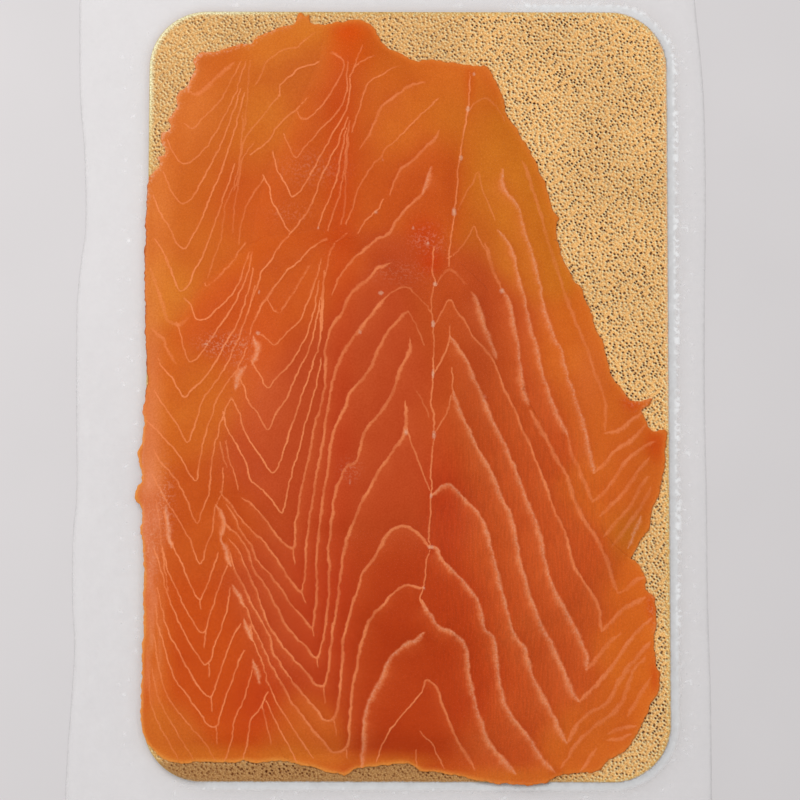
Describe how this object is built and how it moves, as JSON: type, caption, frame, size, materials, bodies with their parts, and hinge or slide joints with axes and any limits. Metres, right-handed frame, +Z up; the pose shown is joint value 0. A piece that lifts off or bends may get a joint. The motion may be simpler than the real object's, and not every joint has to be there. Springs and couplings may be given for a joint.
{
  "type": "pack of smoked salmon",
  "caption": "Flat vacuum pack of sliced smoked salmon: shingled slices on a gold embossed card board in a clear film pouch.",
  "frame": {"origin": "middle of the pouch's flat underside, which rests on the surface", "axes": "+X across the pouch, +Y along the pouch towards the narrow end of the fish, +Z up, out of the side that shows the fish"},
  "size_m": [0.1956, 0.297, 0.0133],
  "materials": {
    "film": "clear, slightly milky vacuum film",
    "gold_board": "gold metallised, pebble-embossed card",
    "salmon": "moist orange fish with pale fat lines"
  },
  "bodies": {
    "root": {"pouch": "film", "board": "gold_board", "slice_back_left": "salmon", "slice_back_right": "salmon", "slice_front_left": "salmon", "slice_front_right": "salmon"}
  },
  "joints": []
}
